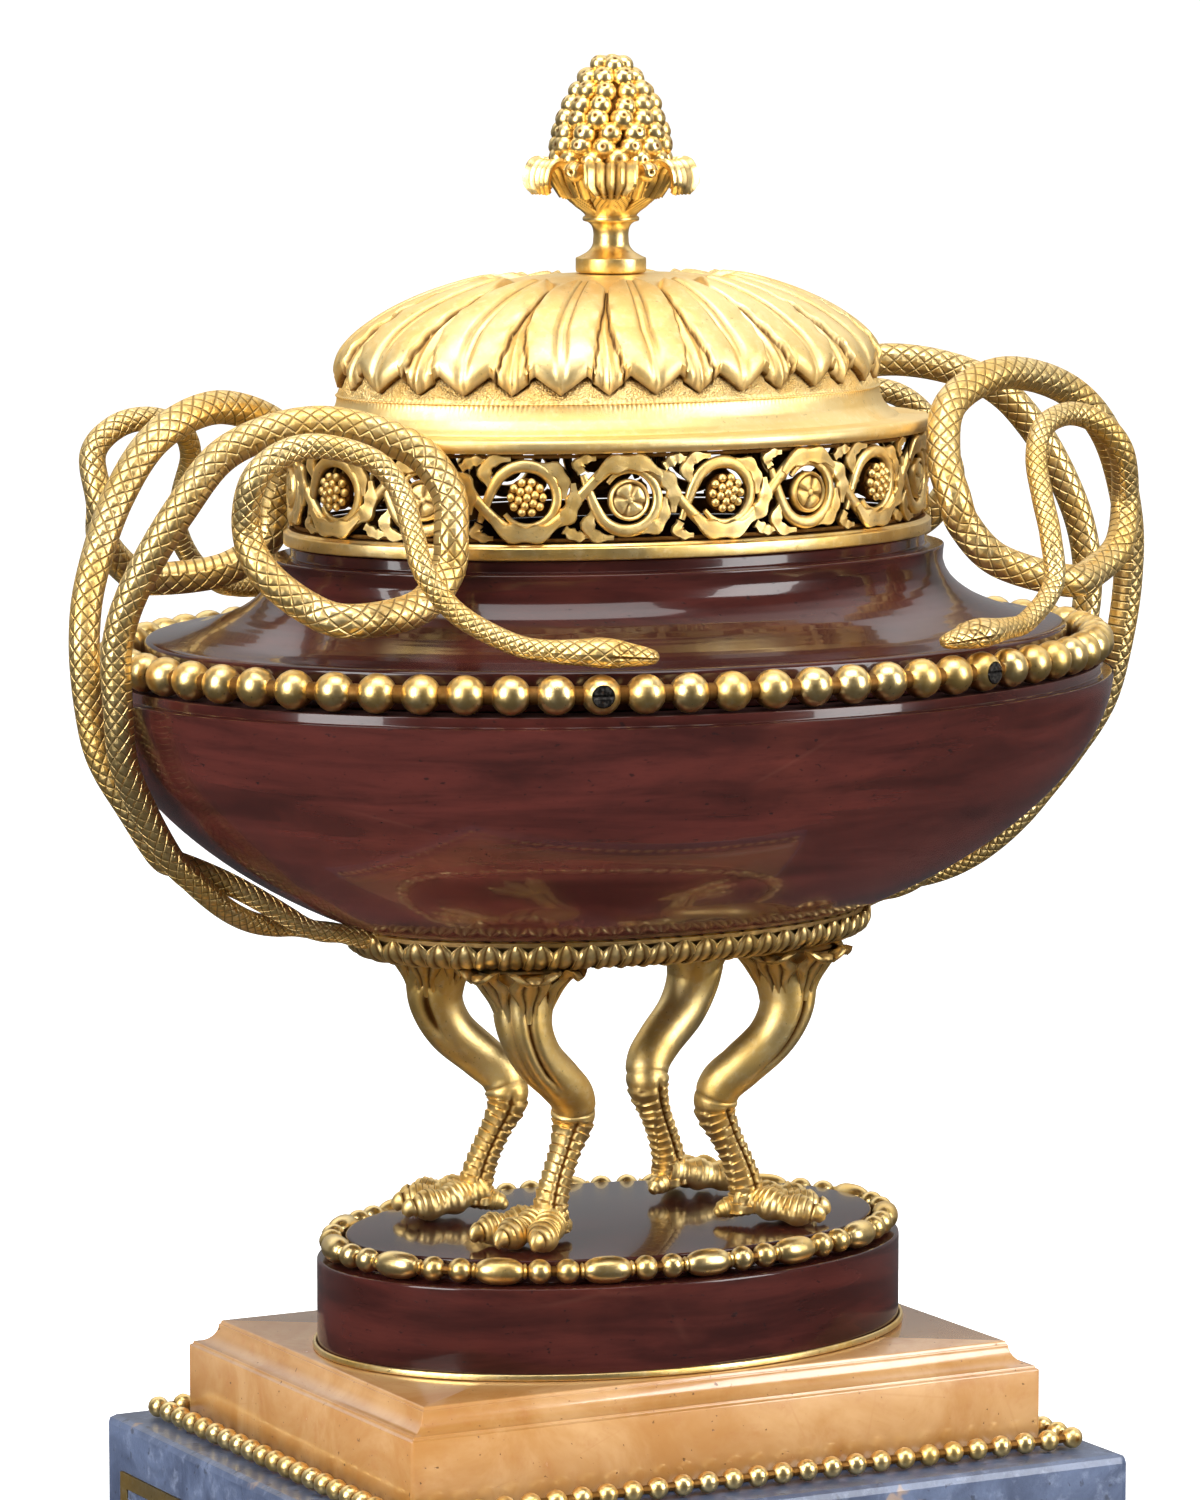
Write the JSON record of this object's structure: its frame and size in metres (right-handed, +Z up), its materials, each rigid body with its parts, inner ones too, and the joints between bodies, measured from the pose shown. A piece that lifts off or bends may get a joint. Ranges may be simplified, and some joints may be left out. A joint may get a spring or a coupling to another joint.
{
  "type": "potpourri vase",
  "caption": "Oval marble potpourri vase on bird's legs, with gilt serpents, pierced gallery, leaf lid and berry finial, on a stepped marble plinth.",
  "frame": {"origin": "centre of the underside of the blue marble block, on the surface that the vase stands on", "axes": "+X along the long axis of the oval, +Y from the front to the back, +Z up"},
  "size_m": [0.3429, 0.2502, 0.4634],
  "materials": {
    "gilt_bronze": "mercury gilding, matt grounds with burnished highlights",
    "red_marble": "polished dark red marble with fine darker streaks",
    "yellow_marble": "polished honey yellow marble with faint veins",
    "blue_marble": "honed blue-grey marble with dark and tan flecks",
    "dark_iron": "darkened iron"
  },
  "bodies": {
    "root": {"blue_block": "blue_marble", "panel_frame_front": "gilt_bronze", "panel_frame_right": "gilt_bronze", "panel_frame_back": "gilt_bronze", "panel_frame_left": "gilt_bronze", "block_bead_moulding": "gilt_bronze", "siena_slab": "yellow_marble", "plinth_foot_fillet": "gilt_bronze", "oval_plinth": "red_marble", "plinth_bead_ring": "gilt_bronze", "leg_front_left": "gilt_bronze", "leg_front_right": "gilt_bronze", "leg_back_left": "gilt_bronze", "leg_back_right": "gilt_bronze", "leaf_cup": "gilt_bronze", "bowl": "red_marble", "belt_bead_ring": "gilt_bronze", "belt_screw_front_left": "dark_iron", "belt_screw_front_right": "dark_iron", "belt_screw_back_left": "dark_iron", "belt_screw_back_right": "dark_iron", "shoulder": "red_marble", "gallery_base_ring": "gilt_bronze", "scroll_gallery": "gilt_bronze", "lid": "gilt_bronze", "finial": "gilt_bronze", "serpent_front_left": "gilt_bronze", "serpent_front_right": "gilt_bronze", "serpent_back_left": "gilt_bronze", "serpent_back_right": "gilt_bronze"}
  },
  "joints": []
}
